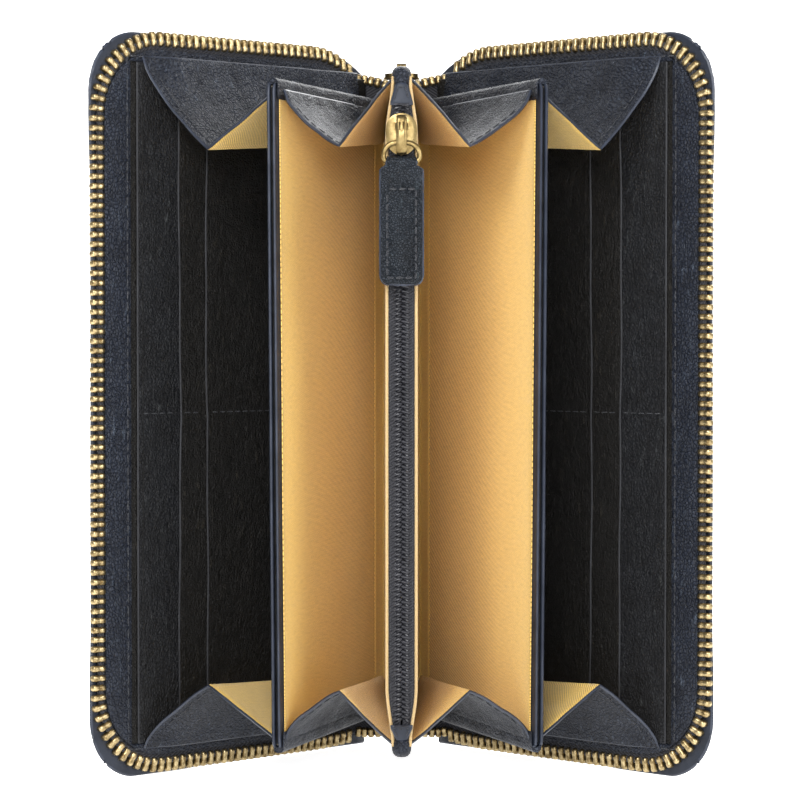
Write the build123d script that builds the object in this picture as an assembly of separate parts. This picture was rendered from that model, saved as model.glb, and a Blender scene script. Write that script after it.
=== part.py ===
from build123d import *
from math import cos, degrees, pi, radians, sin
import os

os.makedirs("parts", exist_ok=True)

# A zip around wallet standing on its short end, opened like a fan.
# Each half is drawn folded shut, parallel to the YZ plane, turned about its upright
# fold line and mirrored to the other side. "Depth" runs from the fold line to the
# mouth, towards -Y, and "layer" numbers are distances from the wallet's middle plane
# when it is shut. The origin is the middle of the footprint, on the ground.

# --- whole wallet (mm, degrees) ---
HEIGHT = 196.0
COVER_DEPTH = 97.0
COVER_CORNER = 12.5
FOLD_X = 6.0             # both fold lines of a half stand here, left and right
FOLD_Y = 38.4            # fold lines behind the origin
DIVIDER_ANGLES = {"left": 18.5, "right": 20.8}
COVER_ANGLE = 44.3
HALF_SHUT = 13.0         # half thickness when folded shut
CLEAR = 0.4              # between soft pieces of different bodies

# --- cover layers, from outside in ---
OUTER_LEATHER = 1.1
BOARD = 0.7
FACING = 0.9
LINING = 0.5
CARD_LEATHER = 0.7
CARD_EDGES = (87.0, 71.5, 62.0)
COVER_START = 3.0        # depth where the inner layers of a cover begin
MARGIN_DEPTH = 88.0      # the facing's inner edge
MARGIN_HIGH = 5.2        # facing's outer edge, from either end
MARGIN_WIDE = 3.5        # facing arms along the two ends
FACING_DEPTH = 96.7
FACING_CORNER = 17.8

# --- main zip ---
TAPE = 0.5
TAPE_EDGE_DEPTH = 97.6
TAPE_EDGE_END = 3.4
TAPE_CORNER = 20.0
TAPE_HIDDEN = 6.5
TOOTH_PITCH = 2.5
TOOTH_LONG = 3.1
TOOTH_WIDE = 1.25
TOOTH_THICK = 2.4
TEETH_START = 5.0

# --- dividers ---
DIVIDER_LAYERS = (("outer_leather", 6.7, 7.6), ("core", 6.1, 6.7),
                  ("inner_leather", 5.3, 6.1), ("lining", 4.9, 5.3))
DIVIDER_START = 3.0
DIVIDER_DEPTH = 83.0
DIVIDER_LOW = 10.2
DIVIDER_HIGH = 180.3
BINDING = 1.2
BINDING_START = 7.0
BINDING_STOP = 80.0

# --- gussets ---
GUSSET = 0.8
GUSSET_DEPTH = 79.0
GUSSET_FOLD_TOP = 164.5
GUSSET_FOLD_LOW = 24.5
GUSSET_INSET = 2.6       # below the panel ends

# --- spine ---
SPINE_ARC_STOP = 61.0    # degrees from +X, where the spine leather ends at the fold
SPINE_LINING = 0.5
SPINE_LINING_Y = 4.7
NOTCH_HALF = 5.3
NOTCH_DEEP = 14.2

# --- coin pocket ---
POCKET_HALF = 4.0
POCKET_WALL = 1.1
POCKET_MOUTH = 84.0
POCKET_FLOOR_Y = 3.4
POCKET_LOW = 10.4
POCKET_HIGH = 182.3
COIN_TAPE_DEPTH = 82.7
COIN_TAPE = 0.5
COIN_TAPE_INNER = 0.5
COIL_INNER = 0.6
COIL_OUTER = 1.9
COIL_THICK = 1.0
ZIP_LOW = 17.0
ZIP_HIGH = 174.0

# --- coin slider and pull ---
SLIDER_LOW = 161.3
SLIDER_LONG = 10.6
SLIDER_WIDE = 7.6
SLIDER_BACK_WIDE = 5.0
SLIDER_PLATE = 1.3
SLIDER_GAP = 0.3
BRIDGE_WIDE = 2.6
BRIDGE_THICK = 0.9
WIRE = 1.3
RING_WIDE = 10.4
RING_HIGH = 6.0
RING_CORNER = 1.2
RING_SHOULDER = 3.2
RING_PLAY = 0.3
PULL_WIDE = 11.0
PULL_LONG = 31.0
PULL_THICK = 2.6
PULL_NECK = 6.6
PULL_NECK_LONG = 2.0

# --- main slider, parked at the top end of the spine ---
MAIN_WIDE = 9.2
MAIN_LONG = 11.0
MAIN_FRONT = -3.2        # Y of its open end, from the fold lines
MAIN_BASE = 182.8
MAIN_PLATE = 1.1
MAIN_THROAT = 2.9
MAIN_PULL_LONG = 38.0
MAIN_RING_LONG = 8.2
MAIN_RING_DROP = 25.0    # degrees below level at rest


def slab(x, y, z):
    """Box from the low and high values of each axis."""
    size = (x[1] - x[0], y[1] - y[0], z[1] - z[0])
    middle = ((x[0] + x[1]) / 2, (y[0] + y[1]) / 2, (z[0] + z[1]) / 2)
    return Pos(*middle) * Box(*size)


def panel(layers, depths, heights, corner=0.0):
    """A folded-shut panel: rounded only at its two mouth corners."""
    body = slab(layers, (-depths[1], -depths[0]), heights)
    if corner:
        mouth = body.edges().filter_by(Axis.X).group_by(Axis.Y)[0]
        body = fillet(mouth, corner)
    return body


def opened(shape, angle):
    """Turn a folded-shut piece of the right half about its fold line."""
    return Pos(FOLD_X, 0, 0) * Rot(0, 0, angle) * Pos(-FOLD_X, 0, 0) * shape


def point_open(layer, depth, angle):
    """Where a point of the folded-shut half lands once it is opened."""
    out = layer - FOLD_X
    a = radians(angle)
    return (FOLD_X + out * cos(a) + depth * sin(a), out * sin(a) - depth * cos(a))


def on_side(pieces, side, name, shape):
    """Store a shape drawn on the right half, mirrored if it belongs to the left."""
    pieces[side + "_" + name] = shape if side == "right" else mirror(shape, about=Plane.YZ)


def both_sides(pieces, name, shape):
    for side in DIVIDER_ANGLES:
        on_side(pieces, side, name, shape)


# ---------------------------------------------------------------- covers
def cover_leather():
    return panel((HALF_SHUT - OUTER_LEATHER, HALF_SHUT), (0.4, COVER_DEPTH),
                 (0, HEIGHT), COVER_CORNER)


BOARD_OUT = HALF_SHUT - OUTER_LEATHER
BOARD_IN = BOARD_OUT - BOARD
FACING_IN = BOARD_IN - FACING
LINING_IN = BOARD_IN - LINING


def cover_board():
    depth = TAPE_EDGE_DEPTH - TAPE_HIDDEN - 0.3
    low = TAPE_EDGE_END + TAPE_HIDDEN + 0.3
    return panel((BOARD_IN, BOARD_OUT), (COVER_START, depth), (low, HEIGHT - low),
                 TAPE_CORNER - TAPE_HIDDEN)


def cover_lining():
    low = MARGIN_HIGH + MARGIN_WIDE
    return panel((LINING_IN, BOARD_IN), (COVER_START, MARGIN_DEPTH), (low, HEIGHT - low))


def zip_facing():
    outside = panel((FACING_IN, BOARD_IN), (COVER_START + 2, FACING_DEPTH),
                    (MARGIN_HIGH, HEIGHT - MARGIN_HIGH), FACING_CORNER)
    low = MARGIN_HIGH + MARGIN_WIDE
    inside = slab((0, 2 * HALF_SHUT), (-MARGIN_DEPTH, 0), (low, HEIGHT - low))
    return outside - inside


def card_panel(index):
    front = LINING_IN - CARD_LEATHER * index
    low = MARGIN_HIGH + MARGIN_WIDE + 0.3
    return panel((front - CARD_LEATHER, front), (COVER_START, CARD_EDGES[index]),
                 (low, HEIGHT - low))


def zip_tape():
    outside = panel((BOARD_IN, BOARD_IN + TAPE), (TEETH_START, TAPE_EDGE_DEPTH),
                    (TAPE_EDGE_END, HEIGHT - TAPE_EDGE_END), TAPE_CORNER)
    low = TAPE_EDGE_END + TAPE_HIDDEN
    inside = panel((0, 2 * HALF_SHUT), (0, TAPE_EDGE_DEPTH - TAPE_HIDDEN),
                   (low, HEIGHT - low), TAPE_CORNER - TAPE_HIDDEN)
    return outside - inside


def tooth_places(first):
    """Depth, height and turn of each tooth, from the bottom end round to the top."""
    straight = TAPE_EDGE_DEPTH - TAPE_CORNER - TEETH_START
    arc = TAPE_CORNER * pi / 2
    side = HEIGHT - 2 * (TAPE_EDGE_END + TAPE_CORNER)
    total = 2 * straight + 2 * arc + side
    middle_depth = TAPE_EDGE_DEPTH - TAPE_CORNER
    low_middle = TAPE_EDGE_END + TAPE_CORNER
    places = []
    run = first
    while run < total - TOOTH_PITCH / 2:
        half = min(run, total - run)
        if half < straight:
            place = (TEETH_START + half, TAPE_EDGE_END, 90.0)
        elif half < straight + arc:
            turn = (half - straight) / TAPE_CORNER
            place = (middle_depth + TAPE_CORNER * sin(turn),
                     low_middle - TAPE_CORNER * cos(turn), 90.0 - degrees(turn))
        else:
            place = (TAPE_EDGE_DEPTH, low_middle + half - straight - arc, 0.0)
        depth, height, turn = place
        if run > total / 2:
            places.append((depth, HEIGHT - height, -turn))
        else:
            places.append((depth, height, turn))
        run += TOOTH_PITCH
    return places


def zip_teeth(first):
    """One row of metal teeth: a narrow stem and a wider head each."""
    layer = BOARD_IN + TAPE - TOOTH_THICK / 2 + 0.15
    stem = Pos(0, -TOOTH_LONG * 0.3, 0) * Box(TOOTH_THICK, TOOTH_LONG * 0.6, TOOTH_WIDE * 0.8)
    head = Pos(0, -TOOTH_LONG * 0.775, 0) * Box(TOOTH_THICK * 0.8, TOOTH_LONG * 0.45, TOOTH_WIDE)
    tooth = stem + head
    return Compound(children=[Pos(layer, -depth, height) * Rot(turn, 0, 0) * tooth
                              for depth, height, turn in tooth_places(first)])


def add_covers(pieces):
    plain = {"cover_leather": cover_leather(), "cover_board": cover_board(),
             "cover_lining": cover_lining(), "zip_facing": zip_facing(),
             "zip_tape": zip_tape()}
    for index in range(len(CARD_EDGES)):
        plain["card_panel_%d" % (index + 1)] = card_panel(index)
    for name, shape in plain.items():
        both_sides(pieces, name, opened(shape, COVER_ANGLE))
    pieces["right_zip_teeth"] = opened(zip_teeth(TOOTH_PITCH / 2), COVER_ANGLE)
    left = opened(zip_teeth(TOOTH_PITCH), COVER_ANGLE)
    pieces["left_zip_teeth"] = mirror(left, about=Plane.YZ)


# ---------------------------------------------------------------- dividers
def add_dividers(pieces):
    across = (DIVIDER_LAYERS[-1][1], DIVIDER_LAYERS[0][2])
    ends = [panel(across, (BINDING_START, BINDING_STOP), heights)
            for heights in ((DIVIDER_LOW - BINDING, DIVIDER_LOW),
                            (DIVIDER_HIGH, DIVIDER_HIGH + BINDING))]
    for side, angle in DIVIDER_ANGLES.items():
        for name, low, high in DIVIDER_LAYERS:
            shape = panel((low, high), (DIVIDER_START, DIVIDER_DEPTH),
                          (DIVIDER_LOW, DIVIDER_HIGH))
            on_side(pieces, side, "divider_" + name, opened(shape, angle))
        on_side(pieces, side, "divider_end_bindings",
                opened(Compound(children=ends), angle))


# ---------------------------------------------------------------- gussets
def sheet_triangle(a, b, c, towards):
    """A triangle with the gusset's thickness laid on the side that faces `towards`."""
    face = Face(Wire.make_polygon([a, b, c], close=True))
    middle = (Vector(*a) + Vector(*b) + Vector(*c)) / 3
    normal = face.normal_at()
    if normal.dot(Vector(*towards) - middle) < 0:
        normal = normal * -1
    return Solid.extrude(face, normal * GUSSET)


def gusset(near, far, fold_height, near_height, far_height):
    """Two leather triangles that meet along a radial fold, open towards the end."""
    (near_layer, near_angle), (far_layer, far_angle) = near, far
    near_mouth = point_open(near_layer, GUSSET_DEPTH, near_angle)
    far_mouth = point_open(far_layer, GUSSET_DEPTH, far_angle)
    near_root = point_open(near_layer, BINDING_START, near_angle)
    far_root = point_open(far_layer, BINDING_START, far_angle)
    apex = ((near_root[0] + far_root[0]) / 2, (near_root[1] + far_root[1]) / 2,
            (near_height + far_height) / 2)
    fold = ((near_mouth[0] + far_mouth[0]) / 2, (near_mouth[1] + far_mouth[1]) / 2,
            fold_height)
    above = (fold[0], fold[1], 2 * max(near_height, far_height) - fold_height)
    if fold_height < HEIGHT / 2:
        above = (fold[0], fold[1], -fold_height)
    one = sheet_triangle(apex, near_mouth + (near_height,), fold, above)
    two = sheet_triangle(apex, fold, far_mouth + (far_height,), above)
    return one + two


def add_gussets(pieces):
    pocket_side = (POCKET_HALF + CLEAR, 0.0)
    cover_side = (LINING_IN - 3 * CARD_LEATHER - 0.1, COVER_ANGLE)
    cover_end = HEIGHT - MARGIN_HIGH - MARGIN_WIDE
    for side, angle in DIVIDER_ANGLES.items():
        divider_in = (DIVIDER_LAYERS[-1][1] - 0.1, angle)
        divider_out = (DIVIDER_LAYERS[0][2] + CLEAR, angle)
        for place, fold, pocket, divider, cover in (
                ("top", GUSSET_FOLD_TOP, POCKET_HIGH - GUSSET_INSET,
                 DIVIDER_HIGH - GUSSET_INSET, cover_end - GUSSET_INSET),
                ("bottom", GUSSET_FOLD_LOW, POCKET_LOW + GUSSET_INSET,
                 DIVIDER_LOW + GUSSET_INSET, HEIGHT - cover_end + GUSSET_INSET)):
            on_side(pieces, side, "inner_gusset_" + place,
                    gusset(pocket_side, divider_in, fold, pocket, divider))
            on_side(pieces, side, "outer_gusset_" + place,
                    gusset(divider_out, cover_side, fold, divider, cover))


# ---------------------------------------------------------------- spine
def spine_leather():
    """Flat back with a rounded edge towards each fold, notched for the zip's ends."""
    outside = HALF_SHUT - FOLD_X
    inside = outside - OUTER_LEATHER
    stop = radians(SPINE_ARC_STOP)
    halfway = (stop + pi / 2) / 2

    def on_arc(radius, angle, side):
        return (side * (FOLD_X + radius * cos(angle)), radius * sin(angle))

    edges = [Line((-FOLD_X, outside), (FOLD_X, outside)),
             Line((-FOLD_X, inside), (FOLD_X, inside))]
    for side in (-1, 1):
        for radius in (outside, inside):
            edges.append(ThreePointArc((side * FOLD_X, radius),
                                       on_arc(radius, halfway, side),
                                       on_arc(radius, stop, side)))
        edges.append(Line(on_arc(outside, stop, side), on_arc(inside, stop, side)))
    profile = make_face(Curve() + edges)
    body = extrude(profile, amount=HEIGHT)
    for heights in ((HEIGHT - NOTCH_DEEP, HEIGHT + 1), (-1, 4)):
        body -= slab((-NOTCH_HALF, NOTCH_HALF), (0, 2 * outside), heights)
    return body


def spine_lining():
    return slab((-FOLD_X, FOLD_X), (SPINE_LINING_Y, SPINE_LINING_Y + SPINE_LINING),
                (POCKET_LOW, POCKET_HIGH))


def add_spine(pieces):
    pieces["spine_leather"] = spine_leather()
    pieces["spine_lining"] = spine_lining()


# ---------------------------------------------------------------- coin pocket
def add_pocket(pieces):
    heights = (POCKET_LOW, POCKET_HIGH)
    inner = POCKET_HALF - POCKET_WALL
    wall = slab((inner, POCKET_HALF), (-POCKET_MOUTH, POCKET_FLOOR_Y + POCKET_WALL), heights)
    both_sides(pieces, "pocket_wall", wall)
    pieces["pocket_floor"] = slab((-inner, inner),
                                  (POCKET_FLOOR_Y, POCKET_FLOOR_Y + POCKET_WALL), heights)
    ends = [slab((-inner, inner), (-COIN_TAPE_DEPTH + 3, POCKET_FLOOR_Y), span)
            for span in ((POCKET_LOW, POCKET_LOW + POCKET_WALL),
                         (POCKET_HIGH - POCKET_WALL, POCKET_HIGH))]
    pieces["pocket_end_seams"] = Compound(children=ends)
    tape = slab((COIN_TAPE_INNER, inner),
                (-COIN_TAPE_DEPTH - COIN_TAPE, -COIN_TAPE_DEPTH),
                (POCKET_LOW + 3, POCKET_HIGH - 3))
    both_sides(pieces, "coin_zip_tape", tape)
    front = -COIN_TAPE_DEPTH - COIN_TAPE
    coil = slab((COIL_INNER, COIL_OUTER), (front - COIL_THICK, front), (ZIP_LOW, ZIP_HIGH))
    both_sides(pieces, "coin_zip_coil", coil)


def pocket_end_tabs():
    """A folded leather piece that closes the mouth at each end of the coin zip."""
    front = -COIN_TAPE_DEPTH - COIN_TAPE
    tabs = []
    for low, high in ((POCKET_LOW + 3, ZIP_LOW - 0.5), (ZIP_HIGH + 0.5, POCKET_HIGH - 3)):
        tabs.append(slab((-2.8, 2.8), (front - 1.4, front), (low, high)))
    return Compound(children=tabs)


def pocket_end_loops():
    """Leather wrapped round each mouth corner of the pocket."""
    front = -POCKET_MOUTH
    loops = []
    for low, high in ((POCKET_LOW - BINDING, POCKET_LOW + 2.6),
                      (POCKET_HIGH - 2.6, POCKET_HIGH + BINDING)):
        block = slab((-4.2, 4.2), (front - 1.1, front - 0.1), (low, high))
        cap_low = low if low < HEIGHT / 2 else POCKET_HIGH
        cap = slab((-4.2, 4.2), (front - 0.1, front + 9), (cap_low, cap_low + BINDING))
        loops.append(block + cap)
    return Compound(children=loops)


def coin_zip_stops():
    front = -COIN_TAPE_DEPTH - COIN_TAPE
    return Compound(children=[slab((-1.9, 1.9), (front - 1.3, front), (low, low + 0.45))
                              for low in (ZIP_LOW - 0.5, ZIP_HIGH + 0.02)])


# ---------------------------------------------------------------- sliders and pulls
def ring_loop(wide, high):
    """A wire D ring, flat in XZ, with the top of its arch on the X axis."""
    frame = Pos(0, -(high - WIRE) / 2) * Rectangle(wide - WIRE, high - WIRE)
    lower_to_upper = frame.vertices().sort_by(Axis.Y)
    frame = fillet(lower_to_upper[:2], RING_CORNER)
    frame = fillet(frame.vertices().group_by(Axis.Y)[-1], RING_SHOULDER)
    path = (Plane.XZ * frame).wire()
    section = Plane(origin=path @ 0, z_dir=path % 0) * Circle(WIRE / 2)
    return sweep(section, path)


def leather_pull(long):
    """Leather folded round the ring's lower bar, which is on the X axis."""
    neck = slab((-PULL_NECK / 2, PULL_NECK / 2), (-PULL_THICK / 2, PULL_THICK / 2),
                (-PULL_NECK_LONG - 0.5, 0))
    turn = Rot(0, 90, 0) * Cylinder(PULL_THICK / 2, PULL_NECK)
    tab = slab((-PULL_WIDE / 2, PULL_WIDE / 2), (-PULL_THICK / 2, PULL_THICK / 2),
               (-long, -PULL_NECK_LONG))
    tab = fillet(tab.edges().filter_by(Axis.Y), 2.0)
    hole = Rot(0, 90, 0) * Cylinder(WIRE / 2 + RING_PLAY, PULL_NECK + 2)
    return neck + turn + tab - hole


def slider_plates(wide, back_wide, long, plate, throat):
    """Two plates, flat in XZ, joined by a thin post near the upper end."""
    front, back = (Pos(0, 0, long / 2) * Rot(90, 0, 0)
                   * extrude(RectangleRounded(size, long, size * 0.34), amount=plate)
                   for size in (wide, back_wide))
    back = Pos(0, plate + throat, 0) * back
    post = slab((-0.28, 0.28), (-0.2, throat + 0.2), (long * 0.55, long * 0.8))
    return front + back + post


def bridge(low, high, rise):
    """The arch on a slider's face that holds the pull, in front of Y = 0."""
    block = slab((-BRIDGE_WIDE / 2, BRIDGE_WIDE / 2), (-rise, 0), (low, high))
    block = fillet(block.edges().filter_by(Axis.X).group_by(Axis.Y)[0], 1.2)
    window = slab((-BRIDGE_WIDE, BRIDGE_WIDE), (BRIDGE_THICK - rise, 0.01),
                  (low + BRIDGE_THICK, high - BRIDGE_THICK))
    return block - window


COIL_FRONT = -COIN_TAPE_DEPTH - COIN_TAPE - COIL_THICK
SLIDER_FACE = COIL_FRONT - SLIDER_GAP - SLIDER_PLATE
COIN_BAR_Y = SLIDER_FACE - WIRE / 2 - 0.35
COIN_BAR_Z = SLIDER_LOW + 3.1
COIN_LOOP_Z = COIN_BAR_Z - (RING_HIGH - WIRE)
BRIDGE_RISE = WIRE + 0.7 + BRIDGE_THICK
MAIN_FACE_Z = MAIN_BASE + 2 * MAIN_PLATE + MAIN_THROAT
MAIN_BAR_Y = MAIN_FRONT + 7.6
MAIN_BAR_Z = MAIN_FACE_Z + WIRE / 2 + 0.35
MAIN_LOOP_Y = MAIN_BAR_Y + (MAIN_RING_LONG - WIRE) * cos(radians(MAIN_RING_DROP))
MAIN_LOOP_Z = MAIN_BAR_Z - (MAIN_RING_LONG - WIRE) * sin(radians(MAIN_RING_DROP))


def add_coin_slider(pieces):
    throat = COIL_THICK + COIN_TAPE + 2 * SLIDER_GAP
    plates = Pos(0, SLIDER_FACE + SLIDER_PLATE, SLIDER_LOW) * slider_plates(
        SLIDER_WIDE, SLIDER_BACK_WIDE, SLIDER_LONG, SLIDER_PLATE, throat)
    arch = Pos(0, SLIDER_FACE, SLIDER_LOW) * bridge(1.4, 8.4, BRIDGE_RISE)
    pieces["coin_slider"] = plates + arch
    pieces["coin_pull_ring"] = Pos(0, COIN_BAR_Y, COIN_BAR_Z) * ring_loop(RING_WIDE, RING_HIGH)
    pieces["coin_pull_leather"] = Pos(0, COIN_BAR_Y, COIN_LOOP_Z) * leather_pull(PULL_LONG)


def add_main_slider(pieces):
    lying = Rot(-90, 0, 0)
    plates = lying * Pos(0, 0, -MAIN_LONG) * slider_plates(MAIN_WIDE, MAIN_WIDE, MAIN_LONG,
                                                           MAIN_PLATE, MAIN_THROAT)
    arch = lying * Pos(0, -MAIN_PLATE, 0) * bridge(-9.4, -1.6, BRIDGE_RISE)
    top = MAIN_FACE_Z - MAIN_PLATE
    pieces["main_slider"] = Pos(0, MAIN_FRONT, top) * (plates + arch)
    ring = Rot(90 - MAIN_RING_DROP, 0, 0) * ring_loop(RING_WIDE, MAIN_RING_LONG)
    pieces["main_pull_ring"] = Pos(0, MAIN_BAR_Y, MAIN_BAR_Z) * ring
    pieces["main_pull_leather"] = Pos(0, MAIN_LOOP_Y, MAIN_LOOP_Z) * leather_pull(MAIN_PULL_LONG)


def main_zip_tails():
    """The two ends of the main zip's tapes, tucked between the spine and its lining."""
    inner = SPINE_LINING_Y + SPINE_LINING
    outer = HALF_SHUT - FOLD_X - OUTER_LEATHER
    step = (outer - inner) / 4
    return Compound(children=[slab((-4.5, 4.5), (inner + step, outer - step), heights)
                              for heights in ((148, HEIGHT - NOTCH_DEEP - 0.5), (4.5, 38))])


def main_zip_stop():
    """Small metal retainer behind the parked slider."""
    back = MAIN_FRONT + MAIN_LONG
    return slab((-3, 3), (back + 0.2, back + 1.4), (MAIN_BASE + 1.2, MAIN_BASE + 3.8))


def build():
    pieces = {}
    add_covers(pieces)
    add_dividers(pieces)
    add_gussets(pieces)
    add_spine(pieces)
    add_pocket(pieces)
    pieces["pocket_end_tabs"] = pocket_end_tabs()
    pieces["pocket_end_loops"] = pocket_end_loops()
    pieces["coin_zip_stops"] = coin_zip_stops()
    add_coin_slider(pieces)
    add_main_slider(pieces)
    pieces["main_zip_tails"] = main_zip_tails()
    pieces["main_zip_stop"] = main_zip_stop()
    return {name: Pos(0, FOLD_Y, 0) * shape for name, shape in pieces.items()}


for name, shape in build().items():
    export_step(shape, "parts/%s.step" % name)
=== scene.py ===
import bmesh
import bpy
from math import copysign, cos, pi, radians, sin, sqrt
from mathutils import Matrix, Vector, noise


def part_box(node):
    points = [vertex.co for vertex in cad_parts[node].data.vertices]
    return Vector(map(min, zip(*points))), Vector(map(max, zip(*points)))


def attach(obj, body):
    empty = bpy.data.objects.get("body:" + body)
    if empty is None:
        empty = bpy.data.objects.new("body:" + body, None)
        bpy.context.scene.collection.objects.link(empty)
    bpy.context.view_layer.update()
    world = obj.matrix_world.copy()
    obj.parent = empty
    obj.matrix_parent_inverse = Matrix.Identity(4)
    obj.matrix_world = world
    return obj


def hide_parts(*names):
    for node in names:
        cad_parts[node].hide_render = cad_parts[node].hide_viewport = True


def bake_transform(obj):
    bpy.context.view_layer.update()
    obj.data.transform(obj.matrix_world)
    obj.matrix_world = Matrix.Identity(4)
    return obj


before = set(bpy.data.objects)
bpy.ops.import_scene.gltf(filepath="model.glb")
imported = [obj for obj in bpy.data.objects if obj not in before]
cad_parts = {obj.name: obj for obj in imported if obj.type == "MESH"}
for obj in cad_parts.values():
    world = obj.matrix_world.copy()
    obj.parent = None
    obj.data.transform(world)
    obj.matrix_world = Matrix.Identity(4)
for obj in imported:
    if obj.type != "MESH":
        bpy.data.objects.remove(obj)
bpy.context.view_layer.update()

# ------------------------------------------------------------- the wallet's sizes, mm
# Panels are placed by layer (distance from the mid-plane of the shut wallet), depth
# (from the fold line towards the mouth) and height. Angles open from shut.
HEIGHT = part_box("spine_leather")[1][2] * 1000
FOLD_X, FOLD_Y = 6.0, 38.4                    # the spine's fold line on each side
DIVIDER = {-1: radians(18.5), 1: radians(20.8)}
COVER = radians(44.3)
COVER_BOW = 0.3                               # how far a cover bows inwards
LEAN = {-1: (-0.6, 0.5), 1: (-0.6, 0.5)}      # each divider's twist, bottom and top, degrees
OUTSIDE = 13.0                                # layer of the cover's and spine's outer face
SPINE_TURN = radians(27.5)                    # how far the spine leather rounds each fold

EAR_DEPTH = 99.9                              # cover corners stand out past the teeth
EAR_CORNER = 15.5
EAR_RECESS = 0.4
EAR_LONG = 25.0
COVER_DIP = 6.5                               # the cover's top edge drops near the spine
MARGIN_DEPTH, MARGIN_HIGH, MARGIN_WIDE = 88.0, 5.2, 3.5
TAPE_EDGE_DEPTH, TAPE_EDGE_END, TAPE_CORNER, TEETH_START = 97.6, 3.4, 20.0, 5.0
CHAIN_LAYER = 11.45
PITCH = 2.5                                   # metal teeth, one side
BRIDGE_TEETH = 5

CARD_EDGES = {-1: (85.9, 72.0, 63.0), 1: (86.1, 71.0, 61.2)}
CARD_FRONT = (10.0, 9.3, 8.6)
CARD_LOW = MARGIN_HIGH + MARGIN_WIDE + 0.3
CARD_STITCH = 95.3

DIVIDER_DEPTH, DIVIDER_LOW, DIVIDER_HIGH = 83.0, 10.2, 180.3
POCKET_MOUTH, POCKET_LOW, POCKET_HIGH = 84.0, 10.4, 182.3
POCKET_HALF = 4.0
COIN_TAPE = 82.7                              # depth of the coin zip's tape
ZIP_LOW, ZIP_HIGH = 17.0, 174.0
COIL_PITCH = 1.27
COIL_SIDES = 10                               # points in one turn of the coil
FOLD_TOP, FOLD_LOW = 164.5, 24.5              # the gussets' folds at the mouth
FOLD_TOP_SPINE, FOLD_LOW_SPINE = 170.0, 19.5  # and at the spine


# ------------------------------------------------------------- materials
def material(name, **values):
    made = bpy.data.materials.new(name)
    made.use_nodes = True
    shader = made.node_tree.nodes["Principled BSDF"]
    for key, value in values.items():
        socket = shader.inputs[key.replace("_", " ")]
        socket.default_value = value
    return made, made.node_tree, shader


def node(tree, kind, **settings):
    made = tree.nodes.new(kind)
    for key, value in settings.items():
        if key in made.inputs:
            made.inputs[key].default_value = value
        else:
            setattr(made, key, value)
    return made


def coordinates(tree, kind="Object", scale=(1, 1, 1), turn=(0, 0, 0)):
    source = node(tree, "ShaderNodeTexCoord")
    mapping = node(tree, "ShaderNodeMapping")
    mapping.inputs["Scale"].default_value = scale
    mapping.inputs["Rotation"].default_value = turn
    tree.links.new(source.outputs[kind], mapping.inputs["Vector"])
    return mapping.outputs["Vector"]


def texture(tree, where, kind, scale, **settings):
    made = node(tree, kind, Scale=scale, **settings)
    tree.links.new(where, made.inputs["Vector"])
    return made


def ramp(tree, value, stops):
    made = node(tree, "ShaderNodeValToRGB")
    band = made.color_ramp
    while len(band.elements) < len(stops):
        band.elements.new(0.5)
    for element, (place, color) in zip(band.elements, stops):
        element.position = place
        element.color = tuple(color) + (1,) if len(color) == 3 else color
    tree.links.new(value, made.inputs["Fac"])
    return made.outputs["Color"]


def bump(tree, height, strength, distance, before=None):
    made = node(tree, "ShaderNodeBump", Strength=strength, Distance=distance)
    tree.links.new(height, made.inputs["Height"])
    if before:
        tree.links.new(before, made.inputs["Normal"])
    return made.outputs["Normal"]


def maths(tree, operation, a, b):
    made = node(tree, "ShaderNodeMath", operation=operation)
    for socket, value in zip(made.inputs, (a, b)):
        if isinstance(value, (int, float)):
            socket.default_value = value
        else:
            tree.links.new(value, socket)
    return made.outputs[0]


def grey(level):
    return (level, level, level)


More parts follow.
